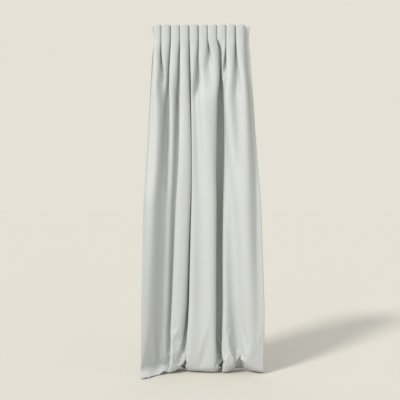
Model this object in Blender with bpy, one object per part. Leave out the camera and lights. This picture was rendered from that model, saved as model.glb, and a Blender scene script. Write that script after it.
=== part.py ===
"""A pencil-pleat curtain panel hanging from its hooks, with its hem resting on the floor.

+Z is up and the room side faces -Y.  The origin is the saddle of the middle hook, where
the glider's eye bears.  The cloth is one folded sheet: at each height its plan outline is
worked out from how steeply the cloth turns back and forth, so that every outline has
the full flat width of the panel in it.
"""

import math

import bmesh
import bpy
import numpy as np
from mathutils import Vector

# Cloth
PANEL_WIDTH = 1.45
PANEL_LENGTH = 2.50
SURPLUS_LENGTH = 0.06  # what lies on the floor
CLOTH_THICKNESS = 0.0018
LEADING_MARGIN = 0.010  # cloth beyond the first hook
RETURN_MARGIN = 0.030  # cloth beyond the last hook, left flat
STEEPEST = math.radians(96)  # how far the cloth turns from straight across

# Hooks and where they hang
HOOKS = 11
HOOK_PITCH = 0.0650
TOP_ABOVE_SADDLE = 0.036  # the cloth stands above the saddles and hides the rail
HOOK_WIRE = 0.0022
HOOK_WIDTH = 0.0034
HOOK_EDGE = 0.0004
EYE_GAP = 0.0056
CROWN_HEIGHT = 0.0034
TIP_DROP = 0.0095
PRONG_TOP = -0.010
PRONG_BOTTOM = -0.032
BEND_RADIUS = 0.0012

# Heading tape, its pockets and its draw cords
TAPE_THICKNESS = 0.0010
TAPE_HEIGHT = 0.088
TAPE_BELOW_TOP = 0.007
STRAP_THICKNESS = 0.0010
STRAP_HALF_WIDTH = 0.0040
STRAP_FOOT = 0.0085  # along the tape from the middle of the crest to the strap's foot
POCKET_HEIGHT = 0.008
POCKET_BELOW_SADDLE = 0.024
BAR_WIDTH = 0.004
CORD_DIAMETER = 0.0020
CORD_SIDES = 8
CORD_INSET = 0.012  # from the tape's upper and lower edges to the outer cords
MIDDLE_CORD_BELOW_SADDLE = 0.004
KNOT_DIAMETER = 0.0048
KNOT_BEYOND_HOOK = 0.0110

# Care label
LABEL_HEIGHT = 0.045
LABEL_THICKNESS = 0.0006
LABEL_ABOVE_FLOOR = 0.16
LABEL_INSET = 0.012  # from the leading edge
LABEL_WIDTH = 0.030

CLEARANCE = 0.0003

# What stands behind a crest of the cloth, measured back from the middle of its thickness.
TAPE_FRONT = CLOTH_THICKNESS / 2 + CLEARANCE
TAPE_BACK = TAPE_FRONT + TAPE_THICKNESS
STRAP_INSIDE = TAPE_BACK + max(HOOK_WIRE, CORD_DIAMETER) + 2 * CLEARANCE
STRAP_OUTSIDE = STRAP_INSIDE + STRAP_THICKNESS
SHANK_FRONT = STRAP_OUTSIDE + CLEARANCE
SHANK_BACK = SHANK_FRONT + HOOK_WIRE
CREST_LINE = -(SHANK_BACK + EYE_GAP / 2)

HANGING_HEIGHT = PANEL_LENGTH - SURPLUS_LENGTH
TOP = TOP_ABOVE_SADDLE
FLOOR = TOP - HANGING_HEIGHT
PLEAT_ARC = (PANEL_WIDTH - LEADING_MARGIN - RETURN_MARGIN) / (HOOKS - 1)
HEADING_DEPTH = TAPE_BELOW_TOP + TAPE_HEIGHT + 0.006
HEM_BULGE = 0.9 * SURPLUS_LENGTH
HEM_BULGE_HEIGHT = 0.12

# Heights at which the folds are described, as shares of the drop below the heading.
LEVELS = (0.0, 0.045, 0.17, 0.47, 0.77, 1.0)
# How much wider than at the hooks the panel hangs at those levels, and where its middle is.
SPREAD = (1.0, 1.01, 1.06, 1.20, 1.26, 1.285)
MIDDLE = (0.0, 0.001, 0.0035, 0.0085, 0.013, 0.013)

# A valley is a stretch where the cloth goes back and returns.  Each row holds its place in
# hook spaces from the first hook, how strongly it turns, its half width in hook spaces,
# and how far its right-hand side leans over it, at each level.
LASTING_VALLEYS = (
    {
        "place": (2.0, 2.02, 1.92, 1.25, 1.10, 1.06),
        "strength": (1.1, 1.0, 0.8, 0.62, 0.55, 0.55),
        "half_width": (0.17, 0.19, 0.28, 0.43, 0.43, 0.39),
        "lean": (0, 0, 0, 0, 0, 0),
    },
    {
        "place": (3.0, 2.99, 2.88, 2.32, 2.00, 1.78),
        "strength": (1.1, 0.9, 0.75, 0.85, 1.05, 1.0),
        "half_width": (0.17, 0.18, 0.25, 0.32, 0.36, 0.36),
        "lean": (0, 0, 0, 0.1, 0.25, 0.25),
    },
    {
        "place": (4.0, 4.01, 4.10, 4.10, 4.02, 3.84),
        "strength": (1.1, 1.1, 1.1, 1.1, 0.95, 0.8),
        "half_width": (0.17, 0.20, 0.28, 0.36, 0.36, 0.36),
        "lean": (0, 0, 0.05, 0.1, 0.1, 0),
    },
    {
        "place": (7.4, 7.4, 7.20, 6.92, 6.88, 6.86),
        "strength": (0.0, 0.9, 1.4, 1.5, 1.4, 1.3),
        "half_width": (0.15, 0.24, 0.37, 0.44, 0.43, 0.43),
        "lean": (0, 0, 0.05, 0.1, 0.1, 0.1),
    },
    {
        "place": (8.0, 8.05, 8.20, 8.30, 8.50, 8.65),
        "strength": (1.1, 0.8, 0.4, 0.35, 0.35, 0.4),
        "half_width": (0.17, 0.18, 0.25, 0.36, 0.36, 0.43),
        "lean": (0, 0, 0, 0, 0, 0),
    },
)
# The other valleys fade on the way down: the hook each is at, and its strength at each level.
# The rows just outside the first and last hooks keep the heading's pleats all alike.
FADING_VALLEYS = (
    (-1, (1.1, 0.6, 0.2, 0.0, 0.0, 0.0)),
    (0, (1.1, 0.8, 0.4, 0.2, 0.0, 0.0)),
    (1, (1.1, 0.6, 0.2, 0.0, 0.0, 0.0)),
    (5, (1.1, 0.9, 0.35, 0.0, 0.0, 0.0)),
    (6, (1.1, 0.6, 0.15, 0.0, 0.0, 0.0)),
    (7, (1.1, 0.5, 0.0, 0.0, 0.0, 0.0)),
    (9, (1.1, 0.9, 0.5, 0.15, 0.0, 0.0)),
    (HOOKS - 1, (1.1, 1.0, 0.95, 0.8, 0.7, 0.7)),
    (HOOKS, (1.1, 0.3, 0.0, 0.0, 0.0, 0.0)),
)
FADING_HALF_WIDTH = (0.17, 0.185, 0.25, 0.28, 0.28, 0.28)

# Rows of the sheet: depths below the top edge, then heights above the floor.
UPPER_ROWS = (0.0, HEADING_DEPTH, 0.145, 0.20, 0.29, 0.44, 0.70, 1.10)
LOWER_ROWS = (0.84, 0.34, HEM_BULGE_HEIGHT, 0.04, 0.0)
CLOTH_DEPTHS = UPPER_ROWS + tuple(HANGING_HEIGHT - height for height in LOWER_ROWS)
# Columns of the sheet, as places from each hook in shares of the space between hooks.
CREST_COLUMN = 0.022
EDGE_COLUMN_GAP = 0.003  # the least room between the sheet's outer columns
COLUMNS = (-0.33, -0.20, -0.125, -0.072, -CREST_COLUMN, CREST_COLUMN, 0.072, 0.125, 0.20, 0.33, 0.5)


def eased(t):
    t = min(max(t, 0.0), 1.0)
    return t * t * (3 - 2 * t)


def at_level(depth, values):
    """The value at a depth below the top edge, from its values at the levels."""
    share = (depth - HEADING_DEPTH) / (HANGING_HEIGHT - HEADING_DEPTH)
    if share <= LEVELS[0]:
        return values[0]
    for low, high, first, last in zip(LEVELS, LEVELS[1:], values, values[1:]):
        if share <= high:
            return first + (last - first) * eased((share - low) / (high - low))
    return values[-1]


def valley(arc, place, strength, half_width, lean):
    """How the cloth turns at one valley: back before its place and forward after it."""
    t = (arc - place) / half_width
    t = np.where(t < 0, t * (1 - 0.6 * lean), t * (1 + 0.6 * lean))
    side = np.where(t < 0, 1 - lean, 1 + lean)
    return -strength * side * t * np.exp(0.5 * (1 - t * t))


def turning(arc, depth):
    """The sum of the valleys at this depth, before it is limited to the steepest turn."""
    total = np.zeros_like(arc)
    for lasting in LASTING_VALLEYS:
        here = {what: at_level(depth, values) for what, values in lasting.items()}
        place = LEADING_MARGIN + PLEAT_ARC * here["place"]
        width = PLEAT_ARC * here["half_width"]
        total += valley(arc, place, here["strength"], width, here["lean"])
    width = PLEAT_ARC * at_level(depth, FADING_HALF_WIDTH)
    for hook, strengths in FADING_VALLEYS:
        place = LEADING_MARGIN + PLEAT_ARC * hook
        total += valley(arc, place, at_level(depth, strengths), width, 0.0)
    # Just past the last hook the cloth runs on flat, as the return towards the wall.
    last_crest = PANEL_WIDTH - RETURN_MARGIN + PLEAT_ARC * CREST_COLUMN
    return np.where(arc < last_crest, total, 0.0)


def walked(angle, step):
    """The plan outline of a line that sets out along +X and turns through these angles."""
    along = np.cos(angle)
    across = np.sin(angle)
    x = np.concatenate([[0.0], np.cumsum((along[1:] + along[:-1]) / 2)]) * step
    y = np.concatenate([[0.0], np.cumsum((across[1:] + across[:-1]) / 2)]) * step
    return x, y


def section(depth, samples=1451):
    """The plan outline at a depth: arc, x and y, with the outer hooks' span as it should be."""
    arc = np.linspace(0.0, PANEL_WIDTH, samples)
    step = arc[1] - arc[0]
    turn = turning(arc, depth)
    first, last = LEADING_MARGIN, PANEL_WIDTH - RETURN_MARGIN
    span = HOOK_PITCH * (HOOKS - 1) * at_level(depth, SPREAD)
    gentle, strong = 0.2, 8.0
    for _ in range(26):
        strength = (gentle + strong) / 2
        angle = STEEPEST * np.tanh(strength * turn)
        level = 0.0
        for _ in range(8):
            x, y = walked(angle + level, step)
            rise = np.interp(last, arc, y) - np.interp(first, arc, y)
            level -= rise / PANEL_WIDTH
        reach = np.interp(last, arc, x) - np.interp(first, arc, x)
        if reach > span:
            gentle = strength
        else:
            strong = strength
    x += at_level(depth, MIDDLE) - span / 2 - np.interp(first, arc, x)
    y -= y.mean()
    return arc, x, y


def column_arcs():
    arcs = [0.0, PANEL_WIDTH - RETURN_MARGIN / 2, PANEL_WIDTH]
    for hook in range(HOOKS):
        for share in COLUMNS:
            place = LEADING_MARGIN + PLEAT_ARC * (hook + share)
            if EDGE_COLUMN_GAP < place < PANEL_WIDTH - RETURN_MARGIN / 2 - EDGE_COLUMN_GAP:
                arcs.append(place)
    return np.array(sorted(arcs))


def reach_of_crests():
    """How far behind the cloth's mean plane the flats of the heading's crests lie."""
    arc, _, y = section(0.0)
    return float(np.interp(LEADING_MARGIN + PLEAT_ARC * CREST_COLUMN, arc, y))


ARCS = column_arcs()
CREST_REACH = reach_of_crests()


def outline(depth):
    """The sheet's middle at each column, as (x, y) rows, with its hook crests on their line."""
    arc, x, y = section(depth)
    y = y - CREST_REACH + CREST_LINE
    near_floor = (depth - (HANGING_HEIGHT - HEM_BULGE_HEIGHT)) / HEM_BULGE_HEIGHT
    if near_floor > 0:
        # The surplus length pushes the forward folds out over the floor.
        forward = (y.max() - y) / (y.max() - y.min())
        y = y - HEM_BULGE * near_floor**2 * forward
    return np.column_stack([np.interp(ARCS, arc, x), np.interp(ARCS, arc, y)])


def back_directions(points):
    """At each column the direction to the back, lengthened so that offset faces stay parallel."""
    runs = np.diff(points, axis=0)
    runs /= np.linalg.norm(runs, axis=1)[:, None]
    normals = np.column_stack([-runs[:, 1], runs[:, 0]])
    before = np.vstack([normals[:1], normals])
    after = np.vstack([normals, normals[-1:]])
    middle = before + after
    middle /= np.linalg.norm(middle, axis=1)[:, None]
    return middle / np.maximum((middle * after).sum(axis=1), 0.5)[:, None]


OUTLINES = [outline(depth) for depth in CLOTH_DEPTHS]


def outline_between(depth):
    """The outline where the built sheet runs straight between two of its rows."""
    row = max(i for i, known in enumerate(CLOTH_DEPTHS[:-1]) if known <= depth)
    share = (depth - CLOTH_DEPTHS[row]) / (CLOTH_DEPTHS[row + 1] - CLOTH_DEPTHS[row])
    return OUTLINES[row] * (1 - share) + OUTLINES[row + 1] * share


def material(name, colour, roughness):
    made = bpy.data.materials.new(name)
    made.use_nodes = True
    shader = made.node_tree.nodes["Principled BSDF"]
    shader.inputs["Base Color"].default_value = (*colour, 1.0)
    shader.inputs["Roughness"].default_value = roughness
    return made


CLOTH_FINISH = material("pale_grey_cloth", (0.70, 0.70, 0.67), 0.75)
TAPE_FINISH = material("white_tape", (0.80, 0.80, 0.77), 0.85)
CORD_FINISH = material("white_cord", (0.82, 0.82, 0.79), 0.8)
HOOK_FINISH = material("white_nylon", (0.86, 0.86, 0.84), 0.35)
LABEL_FINISH = material("white_satin", (0.85, 0.85, 0.84), 0.5)


def object_of(name, mesh_data, finish):
    """Puts a finished bmesh into the scene as a named object, with its faces pointing out."""
    bmesh.ops.recalc_face_normals(mesh_data, faces=mesh_data.faces)
    mesh = bpy.data.meshes.new(name)
    mesh_data.to_mesh(mesh)
    mesh_data.free()
    mesh.materials.append(finish)
    made = bpy.data.objects.new(name, mesh)
    bpy.context.scene.collection.objects.link(made)
    return made


def sheet(name, rows, front, back, finish):
    """A closed sheet.  rows are (outline, height); front and back are offsets towards the back."""
    made = bmesh.new()
    layers = []
    for offset in (front, back):
        layer = []
        for points, height in rows:
            shifted = points + back_directions(points) * offset
            layer.append([made.verts.new((x, y, height)) for x, y in shifted])
        layers.append(layer)
    near, far = layers
    last_row, last_column = len(rows) - 1, len(rows[0][0]) - 1
    for layer in layers:
        for upper, lower in zip(layer, layer[1:]):
            for i in range(last_column):
                made.faces.new((upper[i], upper[i + 1], lower[i + 1], lower[i]))
    for row in (0, last_row):
        for i in range(last_column):
            made.faces.new((near[row][i], near[row][i + 1], far[row][i + 1], far[row][i]))
    for column in (0, last_column):
        for i in range(last_row):
            corners = (near[i], near[i + 1], far[i + 1], far[i])
            made.faces.new([corner[column] for corner in corners])
    return object_of(name, made, finish)


def prism(outline_points, depth_axis, low, high):
    """A bmesh of an outline extruded along one axis; the outline lies in the other two."""
    made = bmesh.new()
    rings = []
    for place in (low, high):
        ring = []
        for a, b in outline_points:
            position = (place, a, b) if depth_axis == "X" else (a, b, place)
            ring.append(made.verts.new(position))
        rings.append(ring)
    made.faces.new(rings[0])
    made.faces.new(reversed(rings[1]))
    for i, corner in enumerate(rings[0]):
        j = (i + 1) % len(rings[0])
        made.faces.new((corner, rings[1][i], rings[1][j], rings[0][j]))
    return made


for leftover in list(bpy.data.objects):
    bpy.data.objects.remove(leftover, do_unlink=True)

# The cloth
half_cloth = CLOTH_THICKNESS / 2
cloth_rows = [(points, TOP - depth) for points, depth in zip(OUTLINES, CLOTH_DEPTHS)]
sheet("curtain_cloth", cloth_rows, -half_cloth, half_cloth, CLOTH_FINISH)

tape_top = TOP - TAPE_BELOW_TOP
tape_bottom = tape_top - TAPE_HEIGHT
hook_places = [HOOK_PITCH * (hook - (HOOKS - 1) / 2) for hook in range(HOOKS)]
cord_heights = {
    "draw_cord_top": tape_top - CORD_INSET,
    "draw_cord_middle": -MIDDLE_CORD_BELOW_SADDLE,
    "draw_cord_bottom": tape_bottom + CORD_INSET,
}


def tape_middle(arc):
    """A point inside the tape's thickness, at an arc from the cloth's leading edge."""
    inside = OUTLINES[0] + back_directions(OUTLINES[0]) * (TAPE_FRONT + TAPE_BACK) / 2
    return (float(np.interp(arc, ARCS, inside[:, 0])), float(np.interp(arc, ARCS, inside[:, 1])))


def pocket(hook, middle, height):
    """A woven strap that stands off one crest of the tape, open above and below for a hook."""
    place = hook_places[hook]
    arc = LEADING_MARGIN + PLEAT_ARC * hook
    foot = STRAP_FOOT
    inner_foot = STRAP_FOOT - STRAP_THICKNESS * 1.5
    strap_inside = CREST_LINE + STRAP_INSIDE
    strap_outside = CREST_LINE + STRAP_OUTSIDE
    points = (
        tape_middle(arc - foot),
        (place - STRAP_HALF_WIDTH - STRAP_THICKNESS, strap_outside - STRAP_THICKNESS),
        (place - STRAP_HALF_WIDTH, strap_outside),
        (place + STRAP_HALF_WIDTH, strap_outside),
        (place + STRAP_HALF_WIDTH + STRAP_THICKNESS, strap_outside - STRAP_THICKNESS),
        tape_middle(arc + foot),
        tape_middle(arc + inner_foot),
        (place + STRAP_HALF_WIDTH - STRAP_THICKNESS / 2, strap_inside),
        (place - STRAP_HALF_WIDTH + STRAP_THICKNESS / 2, strap_inside),
        tape_middle(arc - inner_foot),
    )
    return prism(points, "Z", middle - height / 2, middle + height / 2)


def cord_bar(hook, middle):
    """A woven bar over a draw cord at one crest of the tape, open along the cord."""
    inner = CORD_DIAMETER / 2 + CLEARANCE
    outer = inner + STRAP_THICKNESS
    over = CREST_LINE + TAPE_BACK + CORD_DIAMETER + 2 * CLEARANCE
    root = CREST_LINE + TAPE_BACK - TAPE_THICKNESS / 2
    points = (
        (root, middle - outer),
        (over, middle - outer),
        (over + STRAP_THICKNESS, middle - inner),
        (over + STRAP_THICKNESS, middle + inner),
        (over, middle + outer),
        (root, middle + outer),
        (root, middle + inner),
        (over, middle + inner),
        (over, middle - inner),
        (root, middle - inner),
    )
    place = hook_places[hook]
    return prism(points, "X", place - BAR_WIDTH / 2, place + BAR_WIDTH / 2)


def straps():
    """Every pocket and cord bar of the tape in one mesh, none of them touching another."""
    made = bmesh.new()
    for hook in range(HOOKS):
        pieces = [pocket(hook, -POCKET_BELOW_SADDLE, POCKET_HEIGHT)]
        for height in cord_heights.values():
            pieces.append(cord_bar(hook, height))
        for piece in pieces:
            mesh = bpy.data.meshes.new("strap")
            piece.to_mesh(mesh)
            piece.free()
            made.from_mesh(mesh)
            bpy.data.meshes.remove(mesh)
    return object_of("tape_straps", made, TAPE_FINISH)


# The heading tape: a strip behind the cloth, with its straps joined on
tape = sheet(
    "heading_tape",
    [(OUTLINES[0], tape_top), (OUTLINES[0], tape_bottom)],
    TAPE_FRONT,
    TAPE_BACK,
    TAPE_FINISH,
)
strap_mesh = straps()
strap_mesh.hide_render = True
strap_mesh.display_type = "WIRE"
join = tape.modifiers.new("straps", "BOOLEAN")
join.operation = "UNION"
join.object = strap_mesh


def draw_cord(name, height):
    """A cord under the tape's bars, straight behind the crests, with a knot at each end."""
    cord, knot = CORD_DIAMETER / 2, KNOT_DIAMETER / 2
    centre = CREST_LINE + TAPE_BACK + CLEARANCE + cord
    knot_centre = CREST_LINE + TAPE_BACK + CLEARANCE + knot
    end = hook_places[-1] + KNOT_BEYOND_HOOK
    neck = (hook_places[-1] + BAR_WIDTH, cord, centre)
    half = [neck]
    for along, size in ((-0.7, 0.7), (-0.3, 0.95), (0.2, 1.0), (0.7, 0.8), (1.0, 0.45)):
        half.append((end + knot * along, knot * size, knot_centre))
    rings = [(-place, radius, across) for place, radius, across in reversed(half)] + half
    made = bmesh.new()
    loops = []
    for place, radius, across in rings:
        loop = []
        for side in range(CORD_SIDES):
            angle = 2 * math.pi * (side + 0.5) / CORD_SIDES
            point = (place, across + radius * math.cos(angle), height + radius * math.sin(angle))
            loop.append(made.verts.new(point))
        loops.append(loop)
    made.faces.new(loops[0])
    made.faces.new(reversed(loops[-1]))
    for first, second in zip(loops, loops[1:]):
        for i in range(CORD_SIDES):
            j = (i + 1) % CORD_SIDES
            made.faces.new((first[i], second[i], second[j], first[j]))
    return object_of(name, made, CORD_FINISH)


for cord_name, cord_height in cord_heights.items():
    draw_cord(cord_name, cord_height)


def rounded(corners, radius):
    """The outline with each corner that has a radius cut to an arc of three points."""
    points = []
    for i, (corner, share) in enumerate(corners):
        here = Vector(corner)
        before = (Vector(corners[i - 1][0]) - here).normalized()
        after = (Vector(corners[(i + 1) % len(corners)][0]) - here).normalized()
        if not share:
            points.append(tuple(here))
            continue
        cut = radius * share
        centre = here + (before + after) * cut
        for turn in (0.0, 0.5, 1.0):
            direction = -(after * (1 - turn) + before * turn).normalized()
            points.append(tuple(centre + direction * cut))
    return points


def hook_outline():
    """Side view of a hook in (y, z): prong up into the pocket, shank, crown and tip."""
    prong_front = CREST_LINE + TAPE_BACK + CLEARANCE
    prong_back = prong_front + HOOK_WIRE
    shank_front = CREST_LINE + SHANK_FRONT
    shank_back = CREST_LINE + SHANK_BACK
    tip_front = shank_back + EYE_GAP
    tip_back = tip_front + HOOK_WIRE
    base = PRONG_BOTTOM - HOOK_WIRE
    corners = (
        ((prong_front, PRONG_TOP), 0.35),
        ((prong_front, base), 1.2),
        ((shank_back, base), 1.2),
        ((shank_back, 0.0), 0),
        ((tip_front, 0.0), 0),
        ((tip_front, -TIP_DROP), 0.3),
        ((tip_back, -TIP_DROP), 0.5),
        ((tip_back, CROWN_HEIGHT), 1.5),
        ((shank_front, CROWN_HEIGHT), 1.5),
        ((shank_front, PRONG_BOTTOM), 0.3),
        ((prong_back, PRONG_BOTTOM), 0.3),
        ((prong_back, PRONG_TOP), 0.5),
    )
    return rounded(corners, BEND_RADIUS)


def hook(number, place):
    made = prism(hook_outline(), "X", place - HOOK_WIDTH / 2, place + HOOK_WIDTH / 2)
    rims = [edge for edge in made.edges if abs(edge.verts[0].co.x - edge.verts[1].co.x) < HOOK_EDGE]
    bmesh.ops.bevel(made, geom=rims, offset=HOOK_EDGE, segments=1, affect="EDGES", clamp_overlap=True)
    return object_of(f"hook_{number:02d}", made, HOOK_FINISH)


for index, hook_place in enumerate(hook_places):
    hook(index + 1, hook_place)

# The care label lies against the back of the leading side hem, near the floor.
label_depth = HANGING_HEIGHT - LABEL_ABOVE_FLOOR
label_columns = [i for i, arc in enumerate(ARCS) if LABEL_INSET < arc < LABEL_INSET + LABEL_WIDTH]
label_rows = []
for depth in (label_depth - LABEL_HEIGHT, label_depth):
    points = outline_between(depth)
    lifted = points + back_directions(points) * (half_cloth + 2 * CLEARANCE)
    label_rows.append((lifted[label_columns[0] : label_columns[-1] + 1], TOP - depth))
sheet("care_label", label_rows, 0.0, LABEL_THICKNESS, LABEL_FINISH)
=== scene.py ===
"""A pencil-pleat curtain panel, drawn up on its heading tape and hanging from eleven hooks.

The room side of the panel faces -Y.  Its soft pieces all follow one cloth: the cloth is
folded along its heading, let down onto the floor by a cloth simulation, and every hem,
seam, tape and label is then laid on it by its place in the flat panel.
"""

import math

import bpy
import numpy as np
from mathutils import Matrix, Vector


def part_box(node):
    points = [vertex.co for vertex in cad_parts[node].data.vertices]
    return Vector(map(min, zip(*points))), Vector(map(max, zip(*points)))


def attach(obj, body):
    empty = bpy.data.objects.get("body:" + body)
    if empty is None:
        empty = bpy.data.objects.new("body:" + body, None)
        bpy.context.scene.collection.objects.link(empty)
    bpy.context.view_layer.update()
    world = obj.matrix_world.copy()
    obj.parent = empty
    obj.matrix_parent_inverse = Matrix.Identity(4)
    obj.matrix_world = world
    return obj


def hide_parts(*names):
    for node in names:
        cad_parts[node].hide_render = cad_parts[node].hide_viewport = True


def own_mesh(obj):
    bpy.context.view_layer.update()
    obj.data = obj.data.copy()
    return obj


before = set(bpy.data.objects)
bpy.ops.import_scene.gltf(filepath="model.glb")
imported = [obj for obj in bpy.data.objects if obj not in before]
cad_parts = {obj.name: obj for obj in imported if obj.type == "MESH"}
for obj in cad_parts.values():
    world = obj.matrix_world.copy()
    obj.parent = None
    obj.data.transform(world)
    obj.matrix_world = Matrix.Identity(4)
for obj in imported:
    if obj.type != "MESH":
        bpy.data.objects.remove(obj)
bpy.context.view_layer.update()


# ---------------------------------------------------------------------------------------
# The studio: a pale warm floor that runs on into a backdrop of the same tone, daylight from
# the left front, a soft lamp above, a pale fill, and a camera level with the panel's middle.

cloth_low, cloth_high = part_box("curtain_cloth")
FLOOR = cloth_low[2]
TOP = cloth_high[2]

CAMERA_BACK = 3.93
CAMERA_ABOVE_FLOOR = 1.213
camera_data = bpy.data.cameras.new("studio_camera")
camera_data.lens = 50
camera_data.sensor_width = 36
camera = bpy.data.objects.new("studio_camera", camera_data)
camera.location = (0.004, -CAMERA_BACK, FLOOR + CAMERA_ABOVE_FLOOR)
camera.rotation_euler = (math.radians(90), 0, 0)
bpy.context.scene.collection.objects.link(camera)
bpy.context.scene.camera = camera
bpy.context.scene.view_settings.view_transform = "Standard"

BACKDROP = (0.783, 0.753, 0.672)
FLOOR_TONE = (0.673, 0.648, 0.583)
FLOOR_GAP = 0.0012
floor_finish = bpy.data.materials.new("seamless_paper")
floor_finish.use_nodes = True
paper = floor_finish.node_tree.nodes["Principled BSDF"]
paper.inputs["Base Color"].default_value = (*FLOOR_TONE, 1)
paper.inputs["Roughness"].default_value = 0.95
paper.inputs["Specular IOR Level"].default_value = 0.0
bpy.ops.mesh.primitive_plane_add(size=120, location=(0, 0, FLOOR - FLOOR_GAP))
floor = bpy.context.object
floor.name = "studio_floor"
floor.data.materials.append(floor_finish)


def lamp(name, kind, place, aim, energy, colour):
    data = bpy.data.lights.new(name, kind)
    data.energy = energy
    data.color = colour
    made = bpy.data.objects.new(name, data)
    made.location = place
    made.rotation_euler = (Vector(aim) - Vector(place)).to_track_quat("-Z", "Y").to_euler()
    bpy.context.scene.collection.objects.link(made)
    return data


key = lamp("window_light", "SUN", (-1, -1, 1.22), (0, 0, 0), 1.9, (1, 0.99, 0.97))
key.angle = math.radians(10)
upper = lamp("upper_soft_light", "AREA", (-1.0, -2.3, 0.6), (0.05, 0, -0.75), 1.1, (1, 1, 1))
upper.size = 1.0
upper.spread = math.radians(55)

studio = bpy.data.worlds.new("studio_light")
studio.use_nodes = True
bpy.context.scene.world = studio
nodes, links = studio.node_tree.nodes, studio.node_tree.links
seen = nodes["Background"]
seen.inputs["Color"].default_value = (*BACKDROP, 1)
fill = nodes.new("ShaderNodeBackground")
fill.inputs["Color"].default_value = (0.76, 0.765, 0.765, 1)
by_ray = nodes.new("ShaderNodeLightPath")
either = nodes.new("ShaderNodeMixShader")
links.new(by_ray.outputs["Is Camera Ray"], either.inputs["Fac"])
links.new(fill.outputs["Background"], either.inputs[1])
links.new(seen.outputs["Background"], either.inputs[2])
links.new(either.outputs["Shader"], nodes["World Output"].inputs["Surface"])


# ---------------------------------------------------------------------------------------
# The cloth: one width of pale grey dim-out satin, 1.45 m by 2.50 m when hemmed.  It is
# pleated up to half its width on the tape, and hangs with its last 6 cm on the floor.

PANEL_WIDTH = 1.45
PANEL_LENGTH = 2.50
CLOTH_THICKNESS = 0.0012
LEADING_MARGIN = 0.010
RETURN_MARGIN = 0.030
HOOKS = 11
STEEPEST = math.radians(96)

hook_middles = []
for number in range(HOOKS):
    low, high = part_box(f"hook_{number + 1:02d}")
    hook_middles.append((low[0] + high[0]) / 2)
HOOK_PITCH = (hook_middles[-1] - hook_middles[0]) / (HOOKS - 1)
PLEAT_ARC = (PANEL_WIDTH - LEADING_MARGIN - RETURN_MARGIN) / (HOOKS - 1)
HANGING_HEIGHT = TOP - FLOOR
SURPLUS = PANEL_LENGTH - HANGING_HEIGHT
tape_low, tape_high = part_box("heading_tape")
TAPE_BOTTOM_DEPTH = TOP - tape_low[2]
HEADING_DEPTH = TAPE_BOTTOM_DEPTH + 0.006
# Where the middle of the cloth's thickness lies at each hook.
CREST_LINE = -0.0113
# A pleat's crest, as a share of the cloth between two hooks.
CREST_SHARE = 0.022

# The valleys between the folds, at seven shares of the drop below the heading.  Places and
# half widths are in hook spaces from the first hook.  A tilt, in degrees, tucks a fold under
# the cloth to its right, and a floor is the half width of a valley's flat bottom.
# SPREAD widens the panel at each level, and MIDDLE shifts it towards the return, in metres.
LEVELS = (0.0, 0.045, 0.10, 0.17, 0.47, 0.77, 1.0)
SPREAD = (1.0, 1.010, 1.028, 1.06, 1.19, 1.245, 1.255)
MIDDLE = (0.0, 0.001, 0.002, 0.004, 0.009, 0.013, 0.012)
UPRIGHT = {"tilt": (0,) * len(LEVELS), "floor": (0,) * len(LEVELS)}
TILT_REACH = 1.9
VALLEYS = (
    {
        "place": (2, 2, 1.8, 1.5, 1.2, 1.2, 1),
        "strength": (1.1, 1.0, 0.9, 0.65, 0.35, 0.35, 0.42),
        "half_width": (0.12, 0.14, 0.18, 0.24, 0.43, 0.43, 0.39),
        "tilt": (0, 6, 9, 9, 4, 0, 0),
    },
    {
        "place": (3, 3, 3, 2.75, 2, 2, 1.75),
        "strength": (1.1, 0.9, 0.75, 0.6, 0.65, 0.85, 0.9),
        "half_width": (0.12, 0.14, 0.18, 0.24, 0.28, 0.28, 0.28),
        "tilt": (0, 6, 9, 12, 15, 20, 20),
    },
    {
        "place": (4, 4, 4.2, 4.3, 4, 4, 3.6),
        "strength": (1.1, 1.1, 1.1, 1.1, 1.1, 0.95, 0.8),
        "half_width": (0.12, 0.15, 0.19, 0.24, 0.28, 0.30, 0.34),
        "tilt": (0, 8, 15, 22, 28, 20, 8),
    },
    {
        "place": (5, 5, 5.25, 5, 5, 5.25, 5),
        "strength": (1.1, 1.0, 0.7, 0.4, 0.1, 0.1, 0.0),
        "half_width": (0.12, 0.14, 0.18, 0.22, 0.35, 0.35, 0.35),
    },
    {
        "place": (6, 6, 6, 6, 6, 6, 6),
        "strength": (1.1, 0.45, 0.1, 0.0, 0.0, 0.0, 0.0),
        "half_width": (0.12, 0.14, 0.18, 0.22, 0.28, 0.28, 0.28),
    },
    {
        "place": (7.5, 7, 7.25, 7.25, 7, 7, 6.75),
        "strength": (0.0, 0.9, 1.15, 1.25, 1.3, 1.25, 1.1),
        "half_width": (0.12, 0.20, 0.26, 0.34, 0.38, 0.38, 0.40),
        "tilt": (0, 0, 2, 4, 8, 8, 6),
        "floor": (0, 0.05, 0.09, 0.14, 0.16, 0.13, 0.04),
    },
    {
        "place": (8, 8, 8, 8, 8.25, 8.5, 9),
        "strength": (1.1, 0.9, 0.5, 0.2, 0.25, 0.3, 0.35),
        "half_width": (0.12, 0.14, 0.18, 0.22, 0.40, 0.45, 0.45),
    },
    {
        "place": (9, 9, 9, 9, 9, 9, 9),
        "strength": (1.1, 0.85, 0.45, 0.15, 0.0, 0.0, 0.0),
        "half_width": (0.12, 0.14, 0.18, 0.22, 0.28, 0.28, 0.28),
    },
)
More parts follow.
